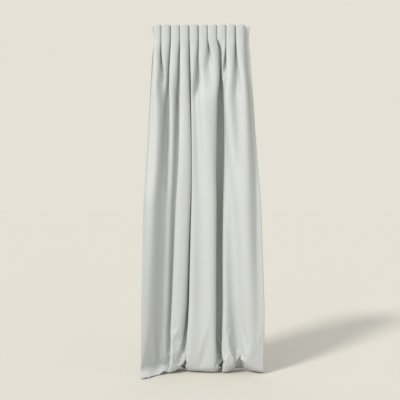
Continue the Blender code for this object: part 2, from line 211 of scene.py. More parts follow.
# Pleats that die out on the way down: the hook each is at, and its strength at each level.
FADING_VALLEYS = (
    (-1, (1.1, 0.6, 0.4, 0.2, 0.0, 0.0, 0.0)),
    (0, (1.1, 0.9, 0.7, 0.5, 0.15, 0.0, 0.0)),
    (1, (1.1, 0.8, 0.5, 0.2, 0.0, 0.0, 0.0)),
    (7, (1.1, 0.3, 0.1, 0.0, 0.0, 0.0, 0.0)),
    (HOOKS - 1, (1.1, 1.0, 0.8, 0.6, 0.25, 0.15, 0.15)),
    (HOOKS, (1.1, 0.3, 0.15, 0.0, 0.0, 0.0, 0.0)),
)
FADING_HALF_WIDTH = (0.12, 0.14, 0.18, 0.22, 0.28, 0.28, 0.28)
# At the front the slits lean to the leading edge.  Most close up snugly, and some gape.
SLIT_LEAN = 0.010
SNUG_SLIT = 0.003
GAPING_SLIT = 0.009
GAPING_HOOKS = (2, 4, 5, 9, 10)
SLIT_FADE = 0.45
PLEAT_DEPTH = 0.043
LIP_PLACE = 0.27
EDGE_TUCK = 0.016
TUCK_DEPTH = 0.105
TUCK_REACH = 0.055
RETURN_TUCK = EDGE_TUCK / 3
RETURN_TURN = 1.33 * RETURN_MARGIN


def eased(t):
    t = np.clip(t, 0.0, 1.0)
    return t * t * (3 - 2 * t)


def at_level(depth, values):
    """The value at a depth below the top edge, from its values at the levels."""
    share = (depth - HEADING_DEPTH) / (HANGING_HEIGHT - HEADING_DEPTH)
    if share <= LEVELS[0]:
        return values[0]
    for low, high, first, last in zip(LEVELS, LEVELS[1:], values, values[1:]):
        if share <= high:
            return first + (last - first) * (share - low) / (high - low)
    return values[-1]


def valley(arc, place, strength, half_width, floor_width=0.0):
    """How the cloth turns at one valley: back before its place and forward after it."""
    from_floor = np.maximum(np.abs(arc - place) - floor_width, 0)
    t = np.sign(arc - place) * from_floor / half_width
    return -strength * t * np.exp(0.5 * (1 - t * t))


def turning(arc, depth):
    """At this depth, the sum of the valleys before it is limited, and the tilt of the folds."""
    total = np.zeros_like(arc)
    tilt = np.zeros_like(arc)
    for row in VALLEYS:
        here = {what: at_level(depth, values) for what, values in (UPRIGHT | row).items()}
        place = LEADING_MARGIN + PLEAT_ARC * here["place"]
        width = PLEAT_ARC * here["half_width"]
        total += valley(arc, place, here["strength"], width, PLEAT_ARC * here["floor"])
        tilt -= math.radians(here["tilt"]) * np.exp(-(((arc - place) / (TILT_REACH * width)) ** 4))
    width = PLEAT_ARC * at_level(depth, FADING_HALF_WIDTH)
    for hook, strengths in FADING_VALLEYS:
        place = LEADING_MARGIN + PLEAT_ARC * hook
        total += valley(arc, place, at_level(depth, strengths), width)
    # Just past the last hook the cloth runs on flat, as the return towards the wall.
    last_crest = PANEL_WIDTH - RETURN_MARGIN + PLEAT_ARC * CREST_SHARE
    return np.where(arc < last_crest, total, 0.0), np.where(arc < last_crest, tilt, 0.0)


def walked(angle, step):
    """The plan outline of a line that sets out along +X and turns through these angles."""
    along = np.cos(angle)
    across = np.sin(angle)
    x = np.concatenate([[0.0], np.cumsum((along[1:] + along[:-1]) / 2)]) * step
    y = np.concatenate([[0.0], np.cumsum((across[1:] + across[:-1]) / 2)]) * step
    return x, y


SAMPLES = 1451
HALVINGS = 26
LEVELLINGS = 8


def section(depth):
    """The plan outline at a depth: arc, x and y, with the outer hooks' span as it should be."""
    arc = np.linspace(0.0, PANEL_WIDTH, SAMPLES)
    step = arc[1] - arc[0]
    turn, tilt = turning(arc, depth)
    first, last = LEADING_MARGIN, PANEL_WIDTH - RETURN_MARGIN
    span = HOOK_PITCH * (HOOKS - 1) * at_level(depth, SPREAD)
    gentle, strong = 0.2, 8.0
    for _ in range(HALVINGS):
        strength = (gentle + strong) / 2
        angle = STEEPEST * np.tanh(strength * turn) + tilt
        level = 0.0
        for _ in range(LEVELLINGS):
            x, y = walked(angle + level, step)
            rise = np.interp(last, arc, y) - np.interp(first, arc, y)
            level -= rise / PANEL_WIDTH
        reach = np.interp(last, arc, x) - np.interp(first, arc, x)
        if reach > span:
            gentle = strength
        else:
            strong = strength
    x += at_level(depth, MIDDLE) - span / 2 - np.interp(first, arc, x)
    y -= y.mean()
    return arc, x, y


def reach_of_crests():
    """How far behind the cloth's mean plane the crests of the heading lie."""
    arc, _, y = section(0.0)
    return float(np.interp(LEADING_MARGIN + PLEAT_ARC * CREST_SHARE, arc, y))


CREST_REACH = reach_of_crests()


def lips(arcs):
    """How far each place of the cloth stands to one side where it is folded to the front."""
    places, shifts = [0.0], [0.0]
    for hook in range(HOOKS):
        gape = GAPING_SLIT - SNUG_SLIT if hook in GAPING_HOOKS else 0.0
        for side in (-1, 1):
            places.append(LEADING_MARGIN + PLEAT_ARC * (hook + side * LIP_PLACE))
            shifts.append(side * gape / 2 - (SLIT_LEAN if hook > 0 else 0.0))
    return np.interp(arcs, places[2:-1], shifts[2:-1])


def creases_of(depth, arc, x):
    """The arcs of the lasting valleys at a depth, from left to right, and where they stand."""
    places = sorted(LEADING_MARGIN + PLEAT_ARC * at_level(depth, row["place"]) for row in VALLEYS)
    return np.array(places), np.interp(places, arc, x)


# The creases bend only at these shares of the drop.
BENDS = (0.0, 0.17, 0.47, 0.77, 1.0)
CREASES = []
for share in BENDS:
    level_depth = HEADING_DEPTH + share * (HANGING_HEIGHT - HEADING_DEPTH)
    level_arc, level_x, _ = section(level_depth)
    CREASES.append(tuple(creases_of(level_depth, level_arc, level_x)[1]))


def straightened(depth, arc, x):
    """The outline with its creases moved onto straight lines from one bend to the next."""
    places, stand = creases_of(depth, arc, x)
    share = (depth - HEADING_DEPTH) / (HANGING_HEIGHT - HEADING_DEPTH)
    shifts = [np.interp(share, BENDS, line) - here for line, here in zip(zip(*CREASES), stand)]
    return x + np.interp(arc, [0, *places, PANEL_WIDTH], [0, *shifts, 0])


def fold_line(depth, arcs):
    """The cloth's middle at a depth, as (x, y) rows, folded but not yet hung."""
    arc, x, y = section(depth)
    x = straightened(depth, arc, x)
    y = y - CREST_REACH + CREST_LINE
    x = np.interp(arcs, arc, x)
    y = np.interp(arcs, arc, y)
    pinned = 1 - eased((depth - HEADING_DEPTH) / SLIT_FADE)
    forward = np.clip((CREST_LINE - y) / PLEAT_DEPTH, 0, 1)
    x = x + lips(arcs) * eased(forward) * pinned
    # The free edges draw in a little where the tape's gathers end.
    drawn = math.exp(-(((depth - TUCK_DEPTH) / TUCK_REACH) ** 2))
    at_leading = 1 - eased(arcs / PLEAT_ARC)
    at_return = eased((arcs - PANEL_WIDTH + RETURN_TURN) / RETURN_MARGIN)
    x = x + drawn * (EDGE_TUCK * at_leading - RETURN_TUCK * at_return)
    if depth < HEADING_DEPTH:
        y = np.minimum(y, CREST_LINE)
    return np.column_stack([x, y])


# The flat panel's columns, close together at the pleats' lips, and its rows.
PLEAT_COLUMNS = (0, CREST_SHARE, 0.05, 0.09, 0.14, 0.19, 0.235, LIP_PLACE, 0.305, 0.35, 0.42)
RETURN_COLUMNS = (RETURN_MARGIN, 0.027, 0.023, 0.015, 0.007, 0.0)
arcs = [0.0, LEADING_MARGIN / 2]
arcs += [PANEL_WIDTH - column for column in RETURN_COLUMNS]
for pleat in range(HOOKS - 1):
    for share in PLEAT_COLUMNS + (0.5,) + tuple(1 - share for share in PLEAT_COLUMNS[1:]):
        arcs.append(LEADING_MARGIN + PLEAT_ARC * (pleat + share))
ARCS = np.array(sorted(arcs))
HEADING_ROWS = 9
BODY_ROW = 0.0145
FOOT_ROW = 0.010
FOOT_HEIGHT = 0.22
body_end = PANEL_LENGTH - FOOT_HEIGHT
body_rows = round((body_end - HEADING_DEPTH) / BODY_ROW)
DEPTHS = np.concatenate([
    np.linspace(0, HEADING_DEPTH, HEADING_ROWS, endpoint=False),
    np.linspace(HEADING_DEPTH, body_end, body_rows, endpoint=False),
    np.linspace(body_end, PANEL_LENGTH, round(FOOT_HEIGHT / FOOT_ROW) + 1),
])
ROWS, COLUMNS = len(DEPTHS), len(ARCS)


def grid_faces(rows, columns):
    corners = np.arange(rows * columns).reshape(rows, columns)
    above, below = corners[:-1], corners[1:]
    quads = np.stack([above[:, :-1], above[:, 1:], below[:, 1:], below[:, :-1]], axis=-1)
    return quads.reshape(-1, 4).tolist()


SMOOTHINGS = 14
FOOT_TURN = math.radians(62)
FOOT_TURN_HEIGHT = 0.13
# The leading corner kicks forward onto the floor; the rest of the foot rolls in under itself.
FOOT_FORWARD = 1.0
FOOT_UNDER = -0.42
BACK_SHARE = -0.3
CORNER_START = 0.15
CORNER_FADE = 0.13
FRILL_WAVE = 0.0012
FRILL_TURNS = (143, 89)


def folded_panel():
    """The panel in its folds and straight down, its foot turned, as a grid of points."""
    panel = np.zeros((ROWS, COLUMNS, 3))
    for row, depth in enumerate(DEPTHS):
        panel[row, :, :2] = fold_line(depth * HANGING_HEIGHT / PANEL_LENGTH, ARCS)
        if depth <= HEADING_DEPTH:
            panel[row, :, :2] = fold_line(depth, ARCS)
        panel[row, :, 2] = TOP - depth
    # The slits close softly, because the cloth doesn't crease along its length.
    below = int(np.sum(DEPTHS <= HEADING_DEPTH))
    for _ in range(SMOOTHINGS):
        plan = panel[:, :, :2]
        panel[below:-1, :, :2] = (plan[below - 1:-2] + 2 * plan[below:-1] + plan[below + 1:]) / 4
    # The frill above the tape isn't held, and its edge waves a little.
    wave = np.sin(ARCS * FRILL_TURNS[0]) + np.sin(ARCS * FRILL_TURNS[1] + 1)
    panel[0, :, 2] += FRILL_WAVE * (wave / 2 - 1)
    turn = FOOT_TURN * eased((DEPTHS - PANEL_LENGTH + FOOT_TURN_HEIGHT) / FOOT_TURN_HEIGHT)
    steps = np.diff(DEPTHS, prepend=0.0)
    forward = np.cumsum(np.sin(turn) * steps)
    lost = np.cumsum((1 - np.cos(turn)) * steps)
    foot = panel[-1, :, 1]
    front = (foot.max() - foot) / (foot.max() - foot.min())
    under = FOOT_UNDER * (BACK_SHARE + (1 - BACK_SHARE) * front)
    share = FOOT_FORWARD + (under - FOOT_FORWARD) * eased((ARCS - CORNER_START) / CORNER_FADE)
    panel[:, :, 1] -= forward[:, None] * share
    panel[:, :, 2] += lost[:, None] * np.abs(share)
    return panel


HEM_HEIGHT = 0.10
LET_DOWN_FROM = 4
LET_DOWN_TO = 26
LAST_FRAME = 40
FLOOR_ROOM = 0.003
FLOOR_REACH = 3
WALL_ROOM = 0.014
WALL_REACH = 1
DRESSED_HOLD = 0.7
LET_GO_FROM = 1.85
LET_GO_TO = 2.25


def hung_panel(panel):
    """The panel let down onto the floor before a wall and settled, as ROWS x COLUMNS points."""
    mesh = bpy.data.meshes.new("hanging")
    mesh.from_pydata(panel.reshape(-1, 3).tolist(), [], grid_faces(ROWS, COLUMNS))
    hanging = bpy.data.objects.new("hanging", mesh)
    bpy.context.scene.collection.objects.link(hanging)
    pins = hanging.vertex_groups.new(name="pins")
    pinned_rows = int(np.sum(DEPTHS <= HEADING_DEPTH))
    pins.add(list(range(pinned_rows * COLUMNS)), 1.0, "REPLACE")
    # A light hold keeps the dressed folds in place, and lets go above the foot.
    hold = DRESSED_HOLD * (1 - eased((DEPTHS - LET_GO_FROM) / (LET_GO_TO - LET_GO_FROM)))
    for row in range(pinned_rows, ROWS):
        if hold[row] > 0:
            pins.add(list(range(row * COLUMNS, (row + 1) * COLUMNS)), float(hold[row]), "REPLACE")
    stiff = hanging.vertex_groups.new(name="stiff")
    hem_rows = int(np.sum(DEPTHS > PANEL_LENGTH - HEM_HEIGHT))
    stiff.add(list(range((ROWS - hem_rows) * COLUMNS, ROWS * COLUMNS)), 1.0, "REPLACE")
    for at_frame, height in ((1, SURPLUS), (LET_DOWN_FROM, SURPLUS), (LET_DOWN_TO, 0.0)):
        hanging.location = (0, 0, height)
        hanging.keyframe_insert("location", frame=at_frame)
    ground_mesh = bpy.data.meshes.new("ground")
    wall = cloth_high[1] + WALL_ROOM
    turns = ((-1, -1), (1, -1), (1, 1), (-1, 1))
    corners = [(x * FLOOR_REACH, y * FLOOR_REACH, FLOOR) for x, y in turns]
    corners += [(x * WALL_REACH, wall, TOP if z > 0 else FLOOR - WALL_REACH) for x, z in turns]
    ground_mesh.from_pydata(corners, [], [(0, 1, 2, 3), (4, 5, 6, 7)])
    ground = bpy.data.objects.new("ground", ground_mesh)
    bpy.context.scene.collection.objects.link(ground)
    ground.modifiers.new("ground", "COLLISION")
    ground.collision.thickness_outer = FLOOR_ROOM
    ground.collision.cloth_friction = 8
    ground.collision.use_culling = False
    cloth = hanging.modifiers.new("cloth", "CLOTH")
    feel = cloth.settings
    feel.quality = 8
    feel.mass = 0.03
    feel.tension_stiffness = 60
    feel.compression_stiffness = 60
    feel.shear_stiffness = 15
    feel.bending_stiffness = 1.0
    feel.vertex_group_bending = "stiff"
    feel.bending_stiffness_max = 20
    feel.tension_damping = 5
    feel.compression_damping = 5
    feel.shear_damping = 5
    feel.bending_damping = 0.5
    feel.vertex_group_mass = "pins"
    touch = cloth.collision_settings
    touch.use_collision = True
    touch.distance_min = FLOOR_ROOM
    touch.use_self_collision = False
    cloth.point_cache.frame_start = 1
    cloth.point_cache.frame_end = LAST_FRAME
    scene = bpy.context.scene
    for at_frame in range(1, LAST_FRAME + 1):
        scene.frame_set(at_frame)
    graph = bpy.context.evaluated_depsgraph_get()
    settled = hanging.evaluated_get(graph)
    points = np.empty(ROWS * COLUMNS * 3)
    settled.data.vertices.foreach_get("co", points)
    place = np.array(settled.matrix_world.translation)
    for helper in (hanging, ground):
        bpy.data.objects.remove(helper, do_unlink=True)
    scene.frame_set(1)
    return points.reshape(ROWS, COLUMNS, 3) + place


panel = folded_panel()
hung = hung_panel(panel)


def back_of(points):
    """The direction to the back at each point of a grid whose rows go down and columns to +X."""
    across = np.gradient(points, axis=1)
    down = np.gradient(points, axis=0)
    back = np.cross(across, down)
    return back / np.maximum(np.linalg.norm(back, axis=2, keepdims=True), 1e-9)


def laid_mesh(name, points, flat_places, thickness, finish):
    """A sheet of some thickness through a grid of points, with its flat places as its UV map."""
    rows, columns = points.shape[:2]
    mesh = bpy.data.meshes.new(name)
    mesh.from_pydata(points.reshape(-1, 3).tolist(), [], grid_faces(rows, columns))
    flat_map = mesh.uv_layers.new(name="flat")
    corner_points = np.empty(len(mesh.loops), dtype=np.int32)
    mesh.loops.foreach_get("vertex_index", corner_points)
    flat_map.data.foreach_set("uv", flat_places.reshape(-1, 2)[corner_points].reshape(-1))
    mesh.polygons.foreach_set("use_smooth", [True] * len(mesh.polygons))
    mesh.materials.append(finish)
    made = bpy.data.objects.new(name, mesh)
    bpy.context.scene.collection.objects.link(made)
    bpy.ops.object.select_all(action="DESELECT")
    made.select_set(True)
    bpy.context.view_layer.objects.active = made
    wall = made.modifiers.new("wall", "SOLIDIFY")
    wall.thickness = thickness
    wall.offset = 0
    bpy.ops.object.modifier_apply(modifier="wall")
    return made


def draws_with_panel(piece):
    """Rides on the curtain's body, with a mesh of its own."""
    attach(piece, "curtain")
    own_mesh(piece)


def flat_grid(arcs_of, depths_of):
    u, v = np.meshgrid(arcs_of, depths_of)
    return np.stack([u, v], axis=-1)


SLUB_STRETCH = (420, 9, 0)


def weave_group():
    """Threads of a plain or satin weave from a flat place in metres: a height and a tone."""
    group = bpy.data.node_groups.new("weave", "ShaderNodeTree")
    face = group.interface
    face.new_socket("Place", in_out="INPUT", socket_type="NodeSocketVector")
    for name, value in (("Warp pitch", 0.0012), ("Weft pitch", 0.0015), ("Slub", 0.5)):
        face.new_socket(name, in_out="INPUT", socket_type="NodeSocketFloat").default_value = value
    face.new_socket("Height", in_out="OUTPUT", socket_type="NodeSocketFloat")
    face.new_socket("Tone", in_out="OUTPUT", socket_type="NodeSocketFloat")
    nodes, links = group.nodes, group.links
    inside, outside = nodes.new("NodeGroupInput"), nodes.new("NodeGroupOutput")
    split = nodes.new("ShaderNodeSeparateXYZ")
    links.new(inside.outputs["Place"], split.inputs[0])

    def maths(kind, first, second=None):
        node = nodes.new("ShaderNodeMath")
        node.operation = kind
        for socket, value in zip(node.inputs, (first, second)):
            if value is None:
                continue
            if isinstance(value, float):
                socket.default_value = value
            else:
                links.new(value, socket)
        return node.outputs[0]

    def ribs(along, pitch):
        turn = maths("MULTIPLY", maths("DIVIDE", along, pitch), math.tau)
        return maths("MULTIPLY_ADD", maths("SINE", turn), 0.5)

    warp = ribs(split.outputs[0], inside.outputs["Warp pitch"])
    weft = ribs(split.outputs[1], inside.outputs["Weft pitch"])
    stretch = nodes.new("ShaderNodeVectorMath")
    stretch.operation = "MULTIPLY"
    links.new(inside.outputs["Place"], stretch.inputs[0])
    stretch.inputs[1].default_value = SLUB_STRETCH
    slubs = nodes.new("ShaderNodeTexNoise")
    slubs.inputs["Scale"].default_value = 1.0
    slubs.inputs["Detail"].default_value = 3.0
    links.new(stretch.outputs[0], slubs.inputs["Vector"])
    slub = maths("MULTIPLY", slubs.outputs["Fac"], inside.outputs["Slub"])
    height = maths("ADD", maths("ADD", warp, weft), slub)
    links.new(height, outside.inputs["Height"])
    links.new(slub, outside.inputs["Tone"])
    return group


WEAVE = weave_group()


def woven_finish(name, colour, shade, roughness, sheen, pitches, slub, relief):
    """A woven stuff: its two tones between slubs, and threads raised by the relief in metres."""
    made = bpy.data.materials.new(name)
    made.use_nodes = True
    nodes, links = made.node_tree.nodes, made.node_tree.links
    shader = nodes["Principled BSDF"]
    shader.inputs["Roughness"].default_value = roughness
    shader.inputs["Sheen Weight"].default_value = sheen
    shader.inputs["Sheen Roughness"].default_value = 0.4
    shader.inputs["Specular IOR Level"].default_value = 0.35
    flat = nodes.new("ShaderNodeUVMap")
    flat.uv_map = "flat"
    weave = nodes.new("ShaderNodeGroup")
    weave.node_tree = WEAVE
    weave.inputs["Warp pitch"].default_value = pitches[0]
    weave.inputs["Weft pitch"].default_value = pitches[1]
    weave.inputs["Slub"].default_value = slub
    links.new(flat.outputs["UV"], weave.inputs["Place"])
    tones = nodes.new("ShaderNodeMix")
    tones.data_type = "RGBA"
    tones.inputs[6].default_value = (*shade, 1)
    tones.inputs[7].default_value = (*colour, 1)
    links.new(weave.outputs["Tone"], tones.inputs[0])
    links.new(tones.outputs[2], shader.inputs["Base Color"])
    bump = nodes.new("ShaderNodeBump")
    bump.inputs["Strength"].default_value = 0.5
    bump.inputs["Distance"].default_value = relief
    links.new(weave.outputs["Height"], bump.inputs["Height"])
    links.new(bump.outputs["Normal"], shader.inputs["Normal"])
    return made


satin = woven_finish(
    "dim_out_satin",
    colour=(0.585, 0.60, 0.59),
    shade=(0.535, 0.55, 0.54),
    roughness=0.62,
    sheen=0.25,
    pitches=(0.0012, 0.0016),
    slub=0.9,
    relief=0.00008,
)
curtain = laid_mesh("curtain_panel", hung, flat_grid(ARCS, DEPTHS), CLOTH_THICKNESS, satin)
draws_with_panel(curtain)
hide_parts("curtain_cloth")


# ---------------------------------------------------------------------------------------
# The hems: the cloth's own edges turned to the back and stitched down, 3 cm wide along both
# sides and 10 cm deep at the foot, where the doubled cloth stands stiffer on the floor.

SIDE_HEM_WIDTH = 0.030
HEM_LIFT = CLOTH_THICKNESS + 0.0001
backs = back_of(hung)


def placed(arcs, depths):
    """The hung cloth's middle, and the direction to its back, at places of the flat panel."""
    arcs, depths = np.broadcast_arrays(arcs, depths)
    column = np.clip(np.searchsorted(ARCS, arcs) - 1, 0, COLUMNS - 2)
    row = np.clip(np.searchsorted(DEPTHS, depths) - 1, 0, ROWS - 2)
    u = ((arcs - ARCS[column]) / (ARCS[column + 1] - ARCS[column]))[..., None]
    v = ((depths - DEPTHS[row]) / (DEPTHS[row + 1] - DEPTHS[row]))[..., None]

    def between(grid):
        upper = grid[row, column] * (1 - u) + grid[row, column + 1] * u
        lower = grid[row + 1, column] * (1 - u) + grid[row + 1, column + 1] * u
        return upper * (1 - v) + lower * v

    back = between(backs)
    return between(hung), back / np.linalg.norm(back, axis=-1, keepdims=True)


def laid(arcs, depths, lifts):
    """Points at places of the flat panel, lifted off the cloth's middle towards its back."""
    middle, back = placed(arcs, depths)
    return middle + back * np.broadcast_to(lifts, middle.shape[:-1])[..., None]


def columns_between(low, high):
    inside = ARCS[(ARCS > low) & (ARCS < high)]
    return np.concatenate([[low], inside, [high]])


def rows_between(low, high):
    inside = DEPTHS[(DEPTHS > low) & (DEPTHS < high)]
    return np.concatenate([[low], inside, [high]])


def laid_sheet(name, arcs, depths, lift, thickness, finish):
    flat_places = flat_grid(arcs, depths)
    points = laid(flat_places[..., 0], flat_places[..., 1], lift)
    return laid_mesh(name, points, flat_places, thickness, finish)


hem_top = PANEL_LENGTH - HEM_HEIGHT
side_rows = rows_between(TAPE_BOTTOM_DEPTH + 0.001, hem_top)
for name, low, high, rows in (
    ("leading_hem", 0.0, SIDE_HEM_WIDTH, side_rows),
    ("return_hem", PANEL_WIDTH - SIDE_HEM_WIDTH, PANEL_WIDTH, side_rows),
    ("bottom_hem", 0.0, PANEL_WIDTH, rows_between(hem_top, PANEL_LENGTH)),
):
    hem = laid_sheet(name, columns_between(low, high), rows, HEM_LIFT, CLOTH_THICKNESS, satin)
    draws_with_panel(hem)


# ---------------------------------------------------------------------------------------
# The stitching: polyester thread to match the cloth, in lockstitch rows along the hems and
# the tape's two edges.  On the front each stitch is a short bead sunk a little in the cloth.

STITCH_PITCH = 0.0042
STITCH_LENGTH = 0.0031
STITCH_WIDTH = 0.0006
STITCH_RISE = 0.0003
HEM_STITCH_INSET = 0.002
TAPE_STITCH_INSET = 0.003
SEAM_BELOW_TAPE = 0.003

thread = woven_finish(
    "polyester_thread",
    colour=(0.55, 0.56, 0.55),
    shade=(0.44, 0.45, 0.44),
    roughness=0.5,
    sheen=0.1,
    pitches=(0.0004, 0.0004),
    slub=0.9,
    relief=0.00005,
)

bpy.ops.object.select_all(action="DESELECT")
bpy.ops.mesh.primitive_uv_sphere_add(segments=6, ring_count=4, radius=1)
bead = bpy.context.object
bead_points = np.array([tuple(vertex.co) for vertex in bead.data.vertices])
bead_faces = [tuple(face.vertices) for face in bead.data.polygons]
bpy.data.objects.remove(bead, do_unlink=True)


def stitch_row(start, end, lift):
    """The flat places and lifts of a row of beads from one flat place to another."""
    start, end = np.array(start), np.array(end)
    length = np.linalg.norm(end - start)
    along = (end - start) / length
    count = int(length / STITCH_PITCH)
    middles = start + along * (np.arange(count)[:, None] + 0.5) * STITCH_PITCH
    long_way = bead_points[:, 2] * STITCH_LENGTH / 2
    cross_way = bead_points[:, 0] * STITCH_WIDTH / 2
    across = np.array([-along[1], along[0]])
    flat = middles[:, None] + long_way[:, None] * along + cross_way[:, None] * across
    rise = np.broadcast_to(lift + bead_points[:, 1] * STITCH_RISE, flat.shape[:-1])
    return flat, rise


tape_top_depth = TOP - tape_high[2]
tape_rows = (tape_top_depth + TAPE_STITCH_INSET, TAPE_BOTTOM_DEPTH - TAPE_STITCH_INSET)
left_row = SIDE_HEM_WIDTH - HEM_STITCH_INSET
right_row = PANEL_WIDTH - left_row
foot_row = hem_top + HEM_STITCH_INSET
seam_top = TAPE_BOTTOM_DEPTH + SEAM_BELOW_TAPE
edge = HEM_STITCH_INSET
front_lift = -CLOTH_THICKNESS / 2
hem_back_lift = HEM_LIFT + CLOTH_THICKNESS / 2
tape_back_lift = 0.0022
stitch_lines = [((edge, foot_row), (PANEL_WIDTH - edge, foot_row), hem_back_lift)]
stitch_lines += [((arc, seam_top), (arc, hem_top), hem_back_lift) for arc in (left_row, right_row)]
stitch_lines += [((edge, row), (PANEL_WIDTH - edge, row), tape_back_lift) for row in tape_rows]
stitch_points, stitch_faces, stitch_flat = [], [], []
for start, end, back_lift in stitch_lines:
    for lift in (front_lift, back_lift):
        flat, rise = stitch_row(start, end, lift)
        for bead_flat, points in zip(flat, laid(flat[..., 0], flat[..., 1], rise)):
            first = len(stitch_points) * len(bead_points)
            stitch_faces += [tuple(first + corner for corner in face) for face in bead_faces]
            stitch_points.append(points)
            stitch_flat.append(bead_flat)
seam_mesh = bpy.data.meshes.new("seam_stitches")
seam_mesh.from_pydata(np.concatenate(stitch_points).tolist(), [], stitch_faces)
flat_map = seam_mesh.uv_layers.new(name="flat")
corners = np.empty(len(seam_mesh.loops), dtype=np.int32)
seam_mesh.loops.foreach_get("vertex_index", corners)
flat_map.data.foreach_set("uv", np.concatenate(stitch_flat)[corners].reshape(-1))
seam_mesh.polygons.foreach_set("use_smooth", [True] * len(seam_mesh.polygons))
seam_mesh.materials.append(thread)
seams = bpy.data.objects.new("seam_stitches", seam_mesh)
bpy.context.scene.collection.objects.link(seams)
bpy.ops.object.select_all(action="DESELECT")
seams.select_set(True)
bpy.context.view_layer.objects.active = seams
bpy.ops.object.mode_set(mode="EDIT")
bpy.ops.mesh.select_all(action="SELECT")
bpy.ops.mesh.normals_make_consistent(inside=False)
bpy.ops.object.mode_set(mode="OBJECT")
draws_with_panel(seams)


# ---------------------------------------------------------------------------------------
# The heading tape: a white ribbed polyester tape 88 mm deep, stitched behind the cloth's
# head.  At each crest it carries a woven pocket for a hook and a bar over each draw cord.

TAPE_THICKNESS = 0.0010
TAPE_LIFT = tape_back_lift - TAPE_THICKNESS / 2
TAPE_ROW = 0.008
POCKET_MIDDLE = -0.024
POCKET_HEIGHT = 0.008
POCKET_FOOT = 0.0085
POCKET_HALF_WIDTH = 0.0052
POCKET_REACH = 0.0055
POCKET_STEEPNESS = 2.2
BAR_WIDTH = 0.004
BAR_HALF_HEIGHT = 0.0022
BAR_REACH = 0.0033
BAR_ROUNDNESS = 0.6
STRAP_STEPS = 12

ribbed = woven_finish(
    "ribbed_tape",
    colour=(0.80, 0.80, 0.77),
    shade=(0.70, 0.70, 0.67),
    roughness=0.8,
    sheen=0.2,
    pitches=(0.0014, 0.0022),
    slub=0.5,
    relief=0.00018,
)
tape_height = tape_high[2] - tape_low[2]
tape_rows_down = round(tape_height / TAPE_ROW) + 1
tape_depths = np.linspace(tape_top_depth, TAPE_BOTTOM_DEPTH, tape_rows_down)
tape = laid_sheet("ribbed_heading_tape", ARCS, tape_depths, TAPE_LIFT, TAPE_THICKNESS, ribbed)

CORDS = ("draw_cord_top", "draw_cord_middle", "draw_cord_bottom")
cord_boxes = {name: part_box(name) for name in CORDS}
cord_heights = [(low[2] + high[2]) / 2 for low, high in cord_boxes.values()]


def strap(name, path, sweep, half_width):
    """A narrow woven strap along a path of points, half its width to each side of it."""
    path = np.array(path)
    across = np.linspace(-half_width, half_width, 4)
    points = path[None] + np.array(sweep) * across[:, None, None]
    lengths = np.concatenate([[0], np.cumsum(np.linalg.norm(np.diff(path, axis=0), axis=1))])
    return laid_mesh(name, points, flat_grid(lengths, across), TAPE_THICKNESS, ribbed)


straps = []
for number, middle in enumerate(hook_middles):
    arc = LEADING_MARGIN + PLEAT_ARC * number
    path = []
    for share in np.linspace(-1, 1, STRAP_STEPS + 1):
        foot = laid(arc + share * POCKET_FOOT, TOP - POCKET_MIDDLE, TAPE_LIFT)
        stand = eased((1 - abs(share)) * POCKET_STEEPNESS)
        arch = (middle + share * POCKET_HALF_WIDTH, CREST_LINE + POCKET_REACH, POCKET_MIDDLE)
        path.append(foot * (1 - stand) + np.array(arch) * stand)
    straps.append(strap(f"pocket_{number + 1:02d}", path, (0, 0, 1), POCKET_HEIGHT / 2))
    for height in cord_heights:
        path = []
        for share in np.linspace(-1, 1, STRAP_STEPS + 1):
            reach = TAPE_LIFT + BAR_REACH * math.cos(share * math.pi / 2) ** BAR_ROUNDNESS
            path.append((middle, CREST_LINE + reach, height - share * BAR_HALF_HEIGHT))
        straps.append(strap(f"bar_{number + 1:02d}", path, (1, 0, 0), BAR_WIDTH / 2))
bpy.ops.object.select_all(action="DESELECT")
for piece in straps:
    piece.select_set(True)
bpy.context.view_layer.objects.active = straps[0]
bpy.ops.object.join()
pockets = bpy.context.object
pockets.name = "tape_pockets"
for piece in (tape, pockets):
    draws_with_panel(piece)
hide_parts("heading_tape")


# ---------------------------------------------------------------------------------------
# The draw cords: three 2 mm braided cords pulled straight under the tape's bars, which is
# what gathers the panel.  Each is knotted beyond the outer hooks so that it can't slip out.

CORD_RADIUS = 0.0010
CORD_SIDES = 12
CORD_STEP = 0.0015
CORD_GAP = 0.0003
KNOT_REACH = 0.0017
KNOT_STEPS = 40
KNOT_ENDS = (0.06, 0.94)
KNOT_LENGTH = 2.4
KNOT_SWING = 0.4
KNOT_RISE = 0.35
KNOT_DEPTH = 0.75
KNOT_BEYOND_HOOK = 0.0110
KNOT_ROOM = 0.004
TAIL_LENGTH = 0.004
TAIL_DROP = 0.0015

braid = woven_finish(
    "braided_cord",
    colour=(0.84, 0.84, 0.81),
    shade=(0.66, 0.66, 0.63),
    roughness=0.7,
    sheen=0.2,
    pitches=(0.0009, 0.0009),
    slub=0.4,
    relief=0.00018,
)


